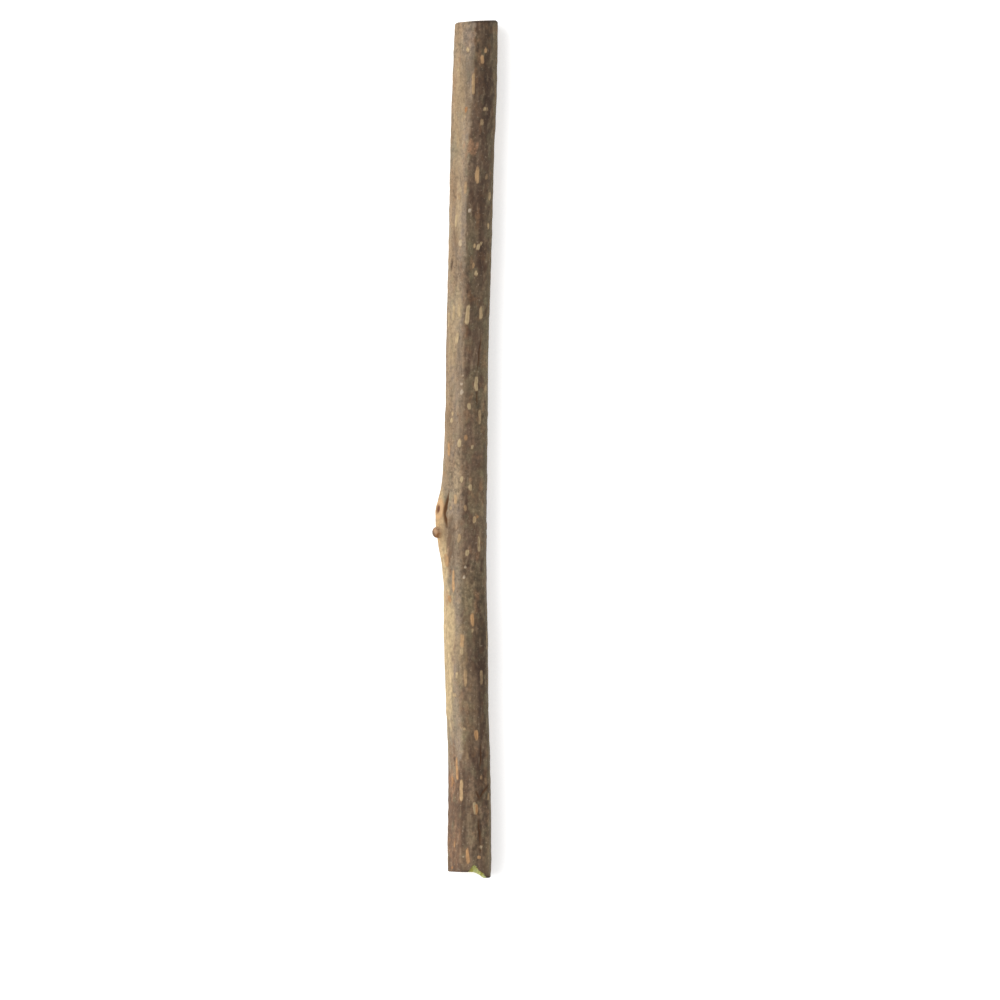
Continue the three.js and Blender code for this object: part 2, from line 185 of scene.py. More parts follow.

# Stains, bare patches and dark patches, some of them painted shade: angle, Y, half length, half width,
# strength
RED_STAINS = (
    (-2, 42.1, 1.2, 1.0, 1), (-60, -46.4, 2.6, 0.8, 0.8), (-42, -54, 2, 1, 0.4),
    (-55, -43.2, 2.4, 0.9, 0.6), (-50, -57, 2.5, 1.2, 0.4), (-60, -21, 1.2, 0.5, 0.7),
    (-50, -14.8, 2.8, 0.5, 0.6), (150, 20, 4, 1.2, 0.6),
    (-140, -45, 5, 1.5, 0.6), (110, -38, 3, 0.9, 0.6), (-120, 30, 3.5, 0.9, 0.5),
)
TAN_PATCHES = (
    (-66, -24.5, 6.5, 2.2, 1), (-70, -31, 9, 1.6, 1), (-74, -16, 5, 1.2, 1), (-84, -9.5, 5, 1.4, 0.6),
    (-42, 46, 9, 1.3, 0.3), (-50, 16, 6, 1.2, 0.25),
    (12, -22, 5, 1.1, 0.2), (12, -36, 7, 1.1, 0.12), (14, -53, 8, 1.3, 0.1), (-14, -28.5, 5, 1, 0.34),
    (48, -56.5, 3, 0.9, 0.14), (-12, -41, 3.6, 0.8, 0.16), (-16, -57.6, 2.2, 0.8, 0.12),
    (34, -6.5, 4.2, 1.5, 0.12),
    (-24, -4, 3.6, 0.7, 0.35), (-30, 20, 4, 0.8, 0.35), (-38, 33, 6, 0.7, 0.35),
    (160, -18, 6, 1, 0.6), (-150, 12, 4, 0.8, 0.6), (120, 44, 5, 0.8, 0.5),
)
# Some dark patches are the bark's own marks; those on the darker side near the ridge and the one beside
# the crease are painted shade
DARK_PATCHES = (
    (28, -48.7, 0.7, 0.45, 0.7), (48, -47.3, 0.6, 0.5, 0.4), (50, -49.4, 0.35, 0.3, 0.8),
    (28, -53.4, 1.8, 0.36, 0.95), (36, -42.6, 1.2, 0.6, 0.8), (-18, -50.2, 0.5, 1, 0.5),
    (-46, 58, 3, 1.2, 0.22), (-8, 57.6, 2.6, 1, 0.1), (-52, -43, 3, 1.1, 0.32),
    (-20, 54.5, 6.5, 1.3, 0.34), (-22, 24, 4, 1, 0.3), (-45, -12.6, 4, 0.75, 0.65),
    (-48, 29, 2.6, 1, 0.25), (-34, -3.5, 2.4, 1.4, 0.2),
    (38, 50, 4.5, 1.2, 0.6), (30, 36, 3, 0.9, 0.4), (32, 26, 3.5, 0.9, 0.5),
    (40, -29, 4, 1, 0.6), (38, -38, 4, 0.9, 0.4), (34, -46, 4, 0.8, 0.5),
    (-61, 26, 1, 0.35, 0.8), (-48, -43.3, 0.35, 0.3, 0.9), (100, -8, 5, 1, 0.6),
    (-155, -22, 6, 1, 0.6), (-110, 50, 4, 0.8, 0.5),
)
GRAINY_PATCHES = (  # where the bark is grainier
    (-30, 57.5, 3.5, 2.2, 1), (-22, -4, 4.5, 1.8, 1), (16, -19, 5, 2, 0.8), (30, -51, 7, 2, 0.7),
    (35, 5, 6, 1.6, 0.5), (-24, 24, 3.5, 1.6, 0.7), (140, 30, 8, 2, 0.8), (-140, -10, 7, 2, 0.8),
)
PATCH = {"ragged": 0.16, "edge": (0.55, 1.15)}  # how uneven its edge is, and where it fades
# Splits and wrinkles: angle, Y, length, how far it leans round the stem over its length, half width
CRACKS = (
    (34, -43, 4, 0.3, 0.11), (27.5, -53.6, 3.9, -0.4, 0.17), (31, -56.2, 1, -0.05, 0.09),
    (35, 13.3, 5.2, 0.55, 0.11), (29, 7.1, 2, 0.05, 0.11),
    (118, 27, 5, -0.3, 0.11), (-128, -34, 6, 0.2, 0.11), (140, -12, 4.5, 0.3, 0.11),
    (-100, 41, 5, -0.2, 0.11),
    (42, -47.9, 2.4, 1.9, 0.17), (24, -48.4, 1.3, -0.75, 0.14),
)
CRACK = {"depth": 0.13, "sway": 0.05, "sway_rate": 2.6}  # how deep it is, and how it winds

# Colours as a screen shows them, from 0 to 255. Where a mask has a colour, both have one name.
COLOURS = {
    # pale and deep are the two sides' tints; their difference is partly the bark's own and partly
    # painted light and shade
    "pale": (147, 123, 95),
    "pale_olive": (126, 113, 92),
    "pale_grey": (120, 105, 90),
    "pale_brown": (112, 95, 76),
    "deep": (107, 87, 70),
    "deep_olive": (95, 82, 63),
    "deep_blotch": (76, 57, 44),
    "olive": (106, 94, 71),
    # strip: partly dark bark and partly painted shade, along the darker side by the ridge
    "strip": (64, 48, 36),
    "brown": (92, 71, 55),
    "rust": (126, 94, 66),
    "lichen": (116, 110, 84),
    "tan": (172, 150, 114),
    "cream": (167, 138, 100),
    "red": (138, 104, 78),
    "dark": (60, 44, 34),
    "flake": (138, 120, 96),
    "fleck": (76, 58, 46),
    "speck": (160, 146, 126),
    "furrow": (62, 48, 38),
    "bud": (164, 130, 99),
    "bud_brown": (124, 92, 68),
    # the next two are painted shade on the bud, on its outer side and, in orange brown, at its foot
    "bud_outer_shade": (74, 54, 40),
    "bud_foot_shade": (136, 90, 48),
    "cork": (184, 146, 106),
    "hollow": (88, 48, 30),
    # gap: painted shade in the crease and the cracks, some of which are dark marks as well
    "gap": (76, 46, 20),
    "rim": (52, 38, 29),
    "pore_grey": (165, 152, 133),
    "pore_straw": (165, 146, 113),
    "pore_orange": (167, 128, 88),
    "pore_rust": (134, 92, 58),
    # a ring of painted shade round each lenticel
    "pore_edge_shade": (116, 88, 62),
    "slit": (136, 92, 54),
    "wood": (222, 200, 156),
    "wood_ray": (198, 168, 118),
    "pith": (228, 214, 184),
    "growth_ring": (168, 130, 84),
    "vessel": (120, 88, 54),
    "green_line": (164, 160, 102),
    "bark_edge": (92, 70, 50),
    "inner_bark": (152, 146, 66),
    "inner_bark_pale": (180, 184, 122),
}
DULL_SPECULAR = 0.25
NOISE_RANGE = (0.3, 0.7)  # most of a noise lies between these

# The mesh: points round the stem, and the step between rows as Y, step
AROUND = 190
BUSY_ANGLES = {"middle": -70, "half": 24, "closer": 1.9}  # round the bud the points lie closer
ROW_STEPS = (
    (-60, 0.06), (-59.7, 0.085), (-57.8, 0.1), (-56.5, 0.29), (-50.5, 0.29), (-49.6, 0.16),
    (-47, 0.16), (-46, 0.29), (-14.5, 0.29), (-13, 0.13), (-5.5, 0.13), (-4, 0.29), (58, 0.29),
    (59.5, 0.07), (60, 0.05),
)
# The cut faces: rings of points, and radii, as shares of the stem's
CAP_RINGS = (0.02, 0.08, 0.16, 0.24, 0.36, 0.5, 0.64, 0.76, 0.84, 0.88, 0.905, 0.94, 0.975)
PITH = 0.17
WOOD = 0.89
GROWTH_RINGS = (0.45, 0.68)
BARK, CUT_WOOD, INNER_BARK = range(3)  # material slots

# The map that the colours are baked on: strips of bark below, the two cut faces above
MAP = {"strips": 3, "top": 0.88, "gap": 0.006, "rough_cut": 0.25, "square_cut": 0.75}

# Camera and lights, in metres
PHOTO_WIDTH = 0.140  # what the frame spans at the height of the stick's widest line
PHOTO_CENTRE = (0.0049, -0.00714)
WIDEST_HEIGHT = 0.003
LENS = 400
SENSOR = 36
NEAREST, FARTHEST = 0.01, 20
KEY = {"place": (-0.48, 0.08, 0.45), "size": 0.8, "power": 5.3}
WORLD_STRENGTH = 0.74
# The floor is a lit white sweep, so shadows on it are faint
FLOOR = {"reach": 4, "white": 0.92, "roughness": 0.9, "specular": 0.1, "glow": 0.35}


# Curves and waves
def smooth(value, low, high):
    """0 below low and 1 above high, with a soft step between."""
    t = np.clip((value - low) / (high - low), 0, 1)
    return t * t * (3 - 2 * t)


def along(rows, y, column=1):
    """A smooth curve through rows of (y, value, ...), read at each y in the given column."""
    rows = np.array(rows, float)
    places, values = rows[:, 0], rows[:, column]
    last = len(rows) - 1
    before = np.maximum(np.arange(last + 1) - 1, 0)
    after = np.minimum(np.arange(last + 1) + 1, last)
    slopes = (values[after] - values[before]) / (places[after] - places[before])
    y = np.clip(y, places[0], places[last])
    i = np.clip(np.searchsorted(places, y) - 1, 0, last - 1)
    span = places[i + 1] - places[i]
    t = (y - places[i]) / span
    bend = span * t * (1 - t) * ((1 - t) * slopes[i] - t * slopes[i + 1])
    return values[i] + (values[i + 1] - values[i]) * smooth(t, 0, 1) + bend


def waves(angle, y, field):
    """One of the fields of long grain, as a sum of waves. It spreads by about 1."""
    counts, lengths = FIELDS[field]
    total = np.zeros(np.broadcast(angle, y).shape)
    for _ in range(WAVES_IN_A_FIELD):
        count = rng.integers(counts[0], counts[1] + 1)
        pitch = 2 * math.pi / rng.uniform(*lengths) * rng.choice((-1, 1))
        total += np.cos(count * angle + pitch * y + rng.uniform(0, 2 * math.pi))
    return total * math.sqrt(2 / WAVES_IN_A_FIELD)


def bell(value, width):
    """1 where the value is 0, and soon 0 beyond the width on both sides."""
    return np.exp(-((value / width) ** 2))


# The stem
def section(angle, y):
    """The bare section's radius at each angle and y, as a share of the stem's."""
    ridge = np.radians(along(RIDGE, y))
    turned = CORNERS * (angle - ridge * (1 + np.cos(angle)) / 2)
    corners = np.cos(turned) + CORNER_SHARPNESS * np.cos(2 * turned)
    return 1 + along(RIDGE, y, 2) * corners


def fit_at(y):
    """The section's scale and centre at each y, so that it fills the outline and lies flat."""
    y = np.asarray(y, float)
    angle = np.radians(np.arange(0, 360, 2))
    shape = section(angle, y[..., None])
    across = shape * np.sin(angle)
    up = shape * np.cos(angle)
    left, right = along(OUTLINE, y), along(OUTLINE, y, 2)
    scale = (right - left) / (across.max(-1) - across.min(-1))
    middle = left - across.min(-1) * scale
    height = -along(FLAT, y) - up.min(-1) * scale
    return scale, middle, height


def flutes(angle, y):
    """Long shallow ribs in the dried bark, except underneath."""
    total = 0
    for count, depth, turns in FLUTES:
        drift = turns * math.pi * y / HALF_LENGTH
        total = total + depth * np.cos(count * angle + drift + count)
    return total * smooth(np.cos(angle), -0.9, -0.4)


def cut_shift(x, y):
    """How far the nearer cut stands off a plain square one at x."""
    left, right = along(OUTLINE, HALF_LENGTH), along(OUTLINE, HALF_LENGTH, 2)
    square = SQUARE_CUT["rise"] * (x - right) / (right - left)
    over = np.clip((x - ROUGH_CUT["from"]) / (ROUGH_CUT["to"] - ROUGH_CUT["from"]), 0, 1)
    rough = ROUGH_CUT["step"] * (1 - over**2)
    return np.where(y > 0, square, rough)


def from_cut(y):
    """How far y is from the nearer cut."""
    return HALF_LENGTH - np.abs(y)


def cut_felt(y):
    """How much of the cut's slope is felt at each y: 1 at the cut, 0 well away from it."""
    return np.clip(1 - from_cut(y) / CUT_REACH, 0, 1)


def before_cut(x, y):
    """The place on the even rows that the cut's slope carries to y."""
    even = y
    for _ in range(4):  # enough rounds to settle, because the slope is slight
        even = y - cut_felt(even) * cut_shift(x, even)
    return even


def bevel_inset(y):
    """How far the bark draws in at the rounded edge of each cut."""
    bevel = np.where(y > 0, SQUARE_CUT["bevel"], ROUGH_CUT["bevel"])
    return bevel * np.clip(1 - from_cut(y) / bevel, 0, 1) ** 2


def in_chip(x, y, angle):
    """True inside the chip's broken edge, on the upper side."""
    edge_x, edge_y = np.array(CHIP_EDGE).T
    edge = np.interp(x, edge_x, edge_y, left=-np.inf, right=-np.inf)
    return (y < edge) & (np.cos(angle) > 0)


# The node: leaf cushion, leaf scar, crease and bud
def from_spot(angle, y, degrees, spot_y, radius):
    """How far each point is from a spot, up the stem and round it, in millimetres."""
    turn = angle - math.radians(degrees)
    turn = (turn + math.pi) % (2 * math.pi) - math.pi
    return y - spot_y, turn * radius


def cushion(angle, y):
    """How far the leaf cushion swells out of the stem."""
    _, around = from_spot(angle, y, NODE_ANGLE, 0, fit_at(y)[0])
    t = np.clip(np.abs(around) / along(CUSHION, y, 2), 0, 1)
    return along(CUSHION, y) * (1 - t * t) ** 1.5


def leaf_scar(angle, y):
    """The oval scar: its relief, its pale corky face and its sunk middle."""
    radius = fit_at(y)[0] + SCAR["above_stem"]
    up, around = from_spot(angle, y, SCAR["angle"], SCAR["y"], radius)
    half_length, half_width = SCAR["length"] / 2, SCAR["width"] / 2
    oval = np.hypot(up / half_length, around / half_width)
    rim = bell(oval - 0.88, 0.22)
    plate = 1 - smooth(oval, 0.55, 0.8)
    from_pit = np.hypot(up / half_length, (around - SCAR["pit_aside"]) / half_width)
    pit = 1 - smooth(from_pit, 0.2, 0.66)
    relief = SCAR["rim"] * rim - SCAR["plate"] * plate - SCAR["pit"] * pit
    return relief, np.maximum(rim, 0.8 * plate), pit


def fold(angle, y, ragged):
    """The crease beside the cushion, with a slightly uneven path and width."""
    up, around = from_spot(angle, y, FOLD["angle"], FOLD["y"], fit_at(y)[0])
    reach = np.clip(1 - (up / (FOLD["length"] / 2)) ** 2, 0, 1) ** FOLD["fullness"]
    path = FOLD["bend"] * up**2 + FOLD["lean"] * up + FOLD["stray"] * ragged
    half_width = FOLD["width"] / 2 * (1 + FOLD["uneven"] * np.clip(ragged, -2, 2))
    return reach * bell(around - path, half_width)


def raise_bud(x, y, z):
    """Pushes the bud's knob out of the bark along its own tilt. Also says where it is."""
    tilt = math.radians(BUD["tilt"])
    from_x, from_z = x - BUD["x"], z - BUD["z"]
    height = from_x * math.sin(tilt) + from_z * math.cos(tilt)
    aside = from_x * math.cos(tilt) - from_z * math.sin(tilt)
    away = (aside / BUD["radius"]) ** 2 + ((y - BUD["y"]) / (BUD["radius"] * BUD["stretch"])) ** 2
    cap = BUD["radius"] * np.sqrt(np.clip(1 - away, 0, 1))
    blend = np.clip(0.5 + 0.5 * (cap - height) / BUD["fillet"], 0, 1) * (away < 1)
    blend *= height > -2 * BUD["radius"]
    push = (cap - height) * blend + BUD["fillet"] * blend * (1 - blend)
    return x + push * math.sin(tilt), z + push * math.cos(tilt), blend


def bud_shades(x, y):
    """Where the bud has painted shade: dark on its outer side, and orange brown at its foot."""
    from_x, from_y = (x - BUD["x"]) / BUD["radius"], (y - BUD["y"]) / BUD["radius"]
    outer = smooth(-0.8 * from_x - 0.45 * from_y, 0.15, 0.8)
    foot = smooth(from_x - 0.9 * from_y, -0.15, 0.9)
    return outer, foot


# The bark: cracks, stains, lenticels and its two sides, whose tints are partly painted light and shade
def cracks(angle, y):
    """How deep each point is in a crack, from 0 to 1."""
    deepest = np.zeros(np.broadcast(angle, y).shape)
    radius = fit_at(y)[0]
    for degrees, middle, length, lean, half_width in CRACKS:
        up, around = from_spot(angle, y, degrees, middle, radius)
        path = lean * up / length + CRACK["sway"] * np.sin(CRACK["sway_rate"] * up + degrees)
        reach = np.clip(1 - (2 * up / length) ** 2, 0, 1)
        deepest = np.maximum(deepest, np.sqrt(reach) * bell(around - path, half_width))
    return deepest


def patches(angle, y, spots, ragged):
    """Soft patches whose edges are made ragged by a field of waves."""
    cover = np.zeros(ragged.shape)
    radius = fit_at(y)[0]
    for degrees, middle, half_length, half_width, strength in spots:
        up, around = from_spot(angle, y, degrees, middle, radius)
        away = np.hypot(up / half_length, around / half_width) + PATCH["ragged"] * ragged
        cover = np.maximum(cover, strength * (1 - smooth(away, *PATCH["edge"])))
    return cover


def hidden_lenticel():
    """A lenticel by chance, on the sides or the back."""
    length = rng.choice(HIDDEN_LENGTHS) * rng.uniform(*HIDDEN["stretch"])
    width = rng.uniform(*HIDDEN["width"])
    tone = rng.uniform(*HIDDEN["tone"])
    strength = rng.uniform(*HIDDEN["strength"])
    degrees = rng.uniform(*HIDDEN["angle"])
    return degrees, rng.uniform(*HIDDEN["y"]), length, width, tone, strength


def all_lenticels():
    """Degrees round the stem, Y, length, width, tone and strength of each lenticel."""
    found = []
    for x, y, length, width, tone, strength in LENTICELS:
        scale, middle, _ = fit_at(y)
        sine = np.clip((x - middle) / scale, -WIDEST_SINE, WIDEST_SINE)
        found.append((math.degrees(math.asin(sine)), before_cut(x, y), length, width, tone, strength))
    return found + [hidden_lenticel() for _ in range(HIDDEN_COUNT)]


def lenticel_shape(u, v, straight):
    """How far each point is from a lenticel's middle line, 1 at its edge. Each has its own shape.
    straight is the share of its length whose sides run even."""
    blunt, lean, waist = (rng.uniform(*LENTICEL[name]) for name in ("blunt", "lean", "waist"))
    v = (v + lean * u) * (1 + waist * u)
    beyond = np.maximum(np.abs(u) - straight, 0) / (1 - straight)
    return (beyond**blunt + np.abs(v) ** blunt) ** (1 / blunt), v


def lenticel_fields(angle, y, ragged):
    """Relief, cover, tone and open slit of all the lenticels."""
    rise = np.zeros(np.broadcast(angle, y).shape)
    cover, tones, slits = rise.copy(), rise.copy(), rise.copy()
    radius = fit_at(y)[0]
    for degrees, middle, length, width, tone, strength in all_lenticels():
        near = np.flatnonzero(np.abs(y[:, 0] - middle) < length)
        up, around = from_spot(angle, y[near], degrees, middle, radius[near])
        u = up / (length / 2)
        v = around / (width / 2) + LENTICEL["sway"] * np.sin(2.5 * u + degrees)
        away, v = lenticel_shape(u, v, LENTICEL["straight"] * max(1 - width / length, 0))
        here = 1 - smooth(away + LENTICEL["ragged"] * ragged[near], *LENTICEL["edge"])
        slit = bell(v, LENTICEL["slit_width"]) * (1 - smooth(np.abs(u), *LENTICEL["slit_ends"]))
        lift = here * (LENTICEL["rise"] - LENTICEL["slit"] * slit) * (0.5 + 0.5 * strength)
        rise[near] = np.maximum(rise[near], lift)
        stronger = here * strength > cover[near]
        cover[near] = np.where(stronger, here * strength, cover[near])
        tones[near] = np.where(stronger, tone, tones[near])
        slits[near] = np.where(stronger, slit * strength, slits[near])
    return rise, cover, tones, slits


def bark_grain(angle, y):
    """Fields of waves: one that makes edges ragged, then furrows, fine furrows, bumps and flakes."""
    ragged = waves(angle, y, "ragged")
    wrinkled = smooth(waves(angle, y, "wrinkled"), -0.8, 0.9)
    coarse = bell(waves(angle, y, "coarse"), FURROW_WIDTH["coarse"]) * wrinkled
    fine = bell(waves(angle, y, "fine"), FURROW_WIDTH["fine"]) * (1 - 0.6 * wrinkled)
    bumps = waves(angle, y, "bumps")
    flake = smooth(waves(angle, y, "flake"), 1.1, 1.5)
    return ragged, coarse, fine, bumps, flake


def above_pale_end(y):
    """0 in the reddish brown stretch by the rough cut and 1 above it."""
    return smooth(y, PALE_END - 1, PALE_END + 1)


def sides(angle, y, ragged):
    """Two masks. The first is 1 on the paler side, left of the upper ridge, 0 on the darker side,
    and between them behind; the two sides' tints are partly the bark's own and partly painted light
    and shade. The second is a greyer band of painted shade by the ridge on the paler side."""
    soft = along(RIDGE_SOFTNESS, y)
    edge = np.radians(along(RIDGE, y)) + 0.03 + 0.03 * ragged
    left = 1 - smooth(angle, edge - soft, edge + soft)
    left *= smooth(angle + 0.1 * ragged, *SIDE_EDGES["far"])
    left *= above_pale_end(y + 0.5 * ragged + 1.2 * np.sin(5 * angle))
    behind = smooth(np.abs(angle), *SIDE_EDGES["behind"]) * (0.45 + 0.3 * np.clip(ragged, -1, 1))
    inner, outer = SIDE_EDGES["ridge_shade_band"]
    ridge_shade_band = left * smooth(angle + 0.08 * ragged, edge + inner, edge + outer)
    return np.maximum(left, behind), ridge_shade_band


def dark_shaded_strip(angle, y, ragged):
    """Where the darkest strip runs along the darker side: partly dark bark, partly painted shade."""
    away = angle - np.radians(along(DARK_SHADED_STRIP, y)) + 0.08 * ragged
    return along(DARK_SHADED_STRIP, y, 2) * bell(away, DARK_SHADED_STRIP_HALF_WIDTH)


def tint_masks(angle, y, ragged):
    """The masks of the bark's tints, stains and bare patches, of the painted light and shade on its two
    sides and by the ridge, and of the dark strip and dark patches, which are partly painted shade.
    """
    pale_side_and_painted_light, ridge_shade_band = sides(angle, y, ragged)
    return {
        "pale_side_and_painted_light": pale_side_and_painted_light,
        "ridge_shade_band": ridge_shade_band,
        # the dark strip is partly painted shade beside the ridge
        "strip": dark_shaded_strip(angle, y, ragged),
        "brown": (1 - above_pale_end(y + 0.5 * ragged)) * (1 - smooth(angle, -0.4, 0.1)),
        "olive": smooth(angle + 0.1 * ragged, 0.65, 1.1) * (1 - smooth(angle, 1.5, 2.2)),
        "red": patches(angle, y, RED_STAINS, ragged),
        "tan": patches(angle, y, TAN_PATCHES, 0.3 * ragged),
        "dark": patches(angle, y, DARK_PATCHES, ragged),
        "grainy": patches(angle, y, GRAINY_PATCHES, ragged),
    }


def place_bark(angle, y, relief):
    """The bark's points, where the bud is on them, and which of them lie in the chip."""
    scale, middle, height = fit_at(y)
    bare = scale * section(angle, y)
    across = middle + bare * np.sin(angle)
    cut_y = y + cut_felt(y) * cut_shift(across, y)
    chipped = in_chip(across, cut_y, angle)
    radius = bare + relief - bevel_inset(y) - BARK_THICKNESS * chipped
    x, z, bud = raise_bud(middle + radius * np.sin(angle), cut_y, height + radius * np.cos(angle))
    return np.stack((x, cut_y, np.maximum(z, 0)), -1), bud, chipped


def bark_surface(y):
    """Points of the bark on a grid of rows by angles, with the masks that colour it."""
    angle = ring_angles()[None, :]
    y = y[:, None]
    ragged, coarse, fine, bumps, flake = bark_grain(angle, y)
    rise, cover, tones, slits = lenticel_fields(angle, y, ragged)
    swell = cushion(angle, y)
    node = smooth(swell, 0.05, 0.5)
    off_node = 1 - node
    calm = 1 - 0.7 * node  # the node's bark is smoother
    scar, cork, pit = leaf_scar(angle, y)
    folded, cracked = fold(angle, y, ragged), cracks(angle, y)

    raised = RELIEF["bumps"] * bumps + RELIEF["ragged"] * ragged
    sunk = RELIEF["coarse"] * coarse + RELIEF["fine"] * fine + RELIEF["flake"] * flake
    relief = (raised - sunk) * calm + flutes(angle, y) + swell + scar
    relief += rise * off_node - CRACK["depth"] * cracked - FOLD["depth"] * folded

    points, bud, chipped = place_bark(angle, y, relief)
    bud_outer_shade, bud_foot_shade = bud_shades(points[..., 0], points[..., 1])
    masks = {
        **tint_masks(angle, y, ragged),
        "furrow": np.clip(0.8 * coarse + 0.3 * fine, 0, 1) * calm,
        "flake": flake,
        "pore": cover * off_node,
        "pore_tone": tones,
        "slit": slits * off_node,
        "cream": smooth(swell, 0.2, 0.85) * (1 - bud),
        "bud": bud,
        # the next two are painted shade on the bud, on its outer side and at its foot
        "bud_outer_shade": bud * bud_outer_shade,
        "bud_foot_shade": bud * bud_foot_shade,
        "cork": cork,
        "hollow": pit,
        # painted shade in the crease and in the cracks, some of which are dark marks as well
        "gap": np.maximum(0.92 * cracked, smooth(folded, 0.08, 0.75)),
        "rim": (1 - smooth(from_cut(y), 0.1, 0.5)) * smooth(angle, -0.6, 0),  # darker by the cuts, except on the left side
        "chip": chipped.astype(float),
        "share": np.ones(bud.shape),
        "rays": np.zeros(bud.shape),
    }
    return points, {name: np.broadcast_to(values, bud.shape) for name, values in masks.items()}


def cut_face(rim, y):
    """Rings of a cut face, from near its middle out to the bark's rim, with their masks."""
    _, middle, height = fit_at(y)
    shares = np.array(CAP_RINGS)[:, None]
    angle = np.arctan2(rim[:, 0] - middle, rim[:, 2] - height)
    x = middle + (rim[:, 0] - middle) * shares
    z = height + (rim[:, 2] - height) * shares
    in_wood = smooth(shares, PITH, 0.3) * (1 - smooth(shares, 0.88, 1))
    rays = waves(angle, shares, "rays") * in_wood
    pith = 1 - smooth(shares, PITH - 0.05, PITH + 0.02)
    seam = bell(shares - WOOD, 0.02)
    hollow = CUT_RELIEF["rays"] * rays + CUT_RELIEF["pith"] * pith + CUT_RELIEF["seam"] * seam
    place = y + cut_shift(x, y) - math.copysign(1, y) * hollow
    return np.stack((x, place, z), -1), {"share": np.broadcast_to(shares, x.shape), "rays": rays}


# The mesh
def row_places():
    """The rows' Y from cut to cut, closer together where the shape is fine."""
    places, steps = np.array(ROW_STEPS).T
    rows = [-HALF_LENGTH]
    while rows[-1] < HALF_LENGTH:
        rows.append(rows[-1] + np.interp(rows[-1], places, steps))
    reach = np.array(rows) + HALF_LENGTH
    return reach * 2 * HALF_LENGTH / reach[-1] - HALF_LENGTH


def ring_angles():
    """Angles of the points round the stem, from straight down and back to it."""
    turn = np.linspace(-math.pi, math.pi, 4 * AROUND + 1)
    middle, half = math.radians(BUSY_ANGLES["middle"]), math.radians(BUSY_ANGLES["half"])
    crowd = 1 + (BUSY_ANGLES["closer"] - 1) * np.exp(-(((turn - middle) / half) ** 4))
    count = np.concatenate(((0,), np.cumsum((crowd[1:] + crowd[:-1]) / 2)))
    return np.interp(np.arange(AROUND) / AROUND, count / count[-1], turn)


def stick_rings():
    """All rings from the middle of the rough cut to that of the square cut, their masks, and
    the rows of the bark."""
    rows = row_places()
    bark, masks = bark_surface(rows)
    rough, rough_masks = cut_face(bark[0], -HALF_LENGTH)
    square, square_masks = cut_face(bark[-1], HALF_LENGTH)
    blank = np.zeros(rough.shape[:2])
    for name, on_bark in masks.items():
        below = rough_masks.get(name, blank)
        above = square_masks.get(name, blank)[::-1]
        masks[name] = np.concatenate((below, on_bark, above))
    return np.concatenate((rough, bark, square[::-1])), masks, rows


def ring_faces(ring_count):
    """Corner numbers of the faces between rings, and of the fans that close both ends."""
    ring = np.arange(ring_count - 1)[:, None] * AROUND
    here = np.arange(AROUND)[None, :]
    after = (here + 1) % AROUND
    corners = (ring + here, ring + after, ring + AROUND + after, ring + AROUND + here)
    walls = np.stack(np.broadcast_arrays(*corners), -1).reshape(-1, 4).tolist()
    last, first_middle = (ring_count - 1) * AROUND, ring_count * AROUND
    near = [(first_middle, (k + 1) % AROUND, k) for k in range(AROUND)]
    far = [(last + k, last + (k + 1) % AROUND, first_middle + 1) for k in range(AROUND)]
    return walls, near + far


def bark_unwrap(rows):
    """Corner places of the bark's faces on the map, in strips side by side."""
    span = 2 * HALF_LENGTH / MAP["strips"]
    strip = np.clip((rows[:-1] + HALF_LENGTH) // span, 0, MAP["strips"] - 1).astype(int)
    starts = np.searchsorted(strip, np.arange(MAP["strips"] + 1))
    low, high = rows[starts[strip]], rows[starts[strip + 1]]
    bottom = (rows[:-1] - low) / (high - low)
    top = (rows[1:] - low) / (high - low)
    v = MAP["gap"] + np.stack((bottom, bottom, top, top), -1) * (MAP["top"] - 2 * MAP["gap"])
    here = np.arange(AROUND) / AROUND
    after = here + 1 / AROUND
    u = MAP["gap"] + np.stack((here, after, after, here), -1) * (1 - 2 * MAP["gap"])
    u, v = np.broadcast_arrays(u[None] + strip[:, None, None], v[:, None])
    return np.stack((u / MAP["strips"], v), -1).reshape(-1, 2)


def cut_unwrap(shares, middle_u):
    """Corner places of one cut face's quads, as a disc on the map, its outline and its middle."""
    turn = np.linspace(-math.pi, math.pi, AROUND + 1)
    size = (1 - MAP["top"]) / 2
    disc = np.stack((np.sin(turn), np.cos(turn)), -1) * (size - MAP["gap"])
    middle = np.array((middle_u, 1 - size))
    near, far = shares[:-1, None, None], shares[1:, None, None]
    corners = (near * disc[:-1], near * disc[1:], far * disc[1:], far * disc[:-1])
    walls = middle + np.stack(np.broadcast_arrays(*corners), -2).reshape(-1, 2)
    return walls, disc, middle


def unwrap(mesh, rows):
    """The map that the colours are baked on, laid out so that it shares its space evenly."""
    shares = np.array((*CAP_RINGS, 1))
    rough, disc, rough_middle = cut_unwrap(shares, MAP["rough_cut"])
    square, _, square_middle = cut_unwrap(shares[::-1], MAP["square_cut"])
    tiny = disc * shares[0]
    here, after = tiny[:-1], tiny[1:]
    centre = np.zeros_like(here)
    near = np.stack((centre, after, here), 1).reshape(-1, 2) + rough_middle
    far = np.stack((here, after, centre), 1).reshape(-1, 2) + square_middle
    places = np.concatenate((rough, bark_unwrap(rows), square, near, far))
    layer = mesh.uv_layers.new(name="OFBake")
    layer.uv.foreach_set("vector", places.ravel())


def add_masks(mesh, masks):
    """Keeps each mask on the mesh's points. The two middles get the mean of the ring round them."""
    for name, on_rings in masks.items():
        middles = (on_rings[0].mean(), on_rings[-1].mean())
        attribute = mesh.attributes.new(name, "FLOAT", "POINT")
        attribute.data.foreach_set("value", np.concatenate((on_rings.ravel(), middles)))


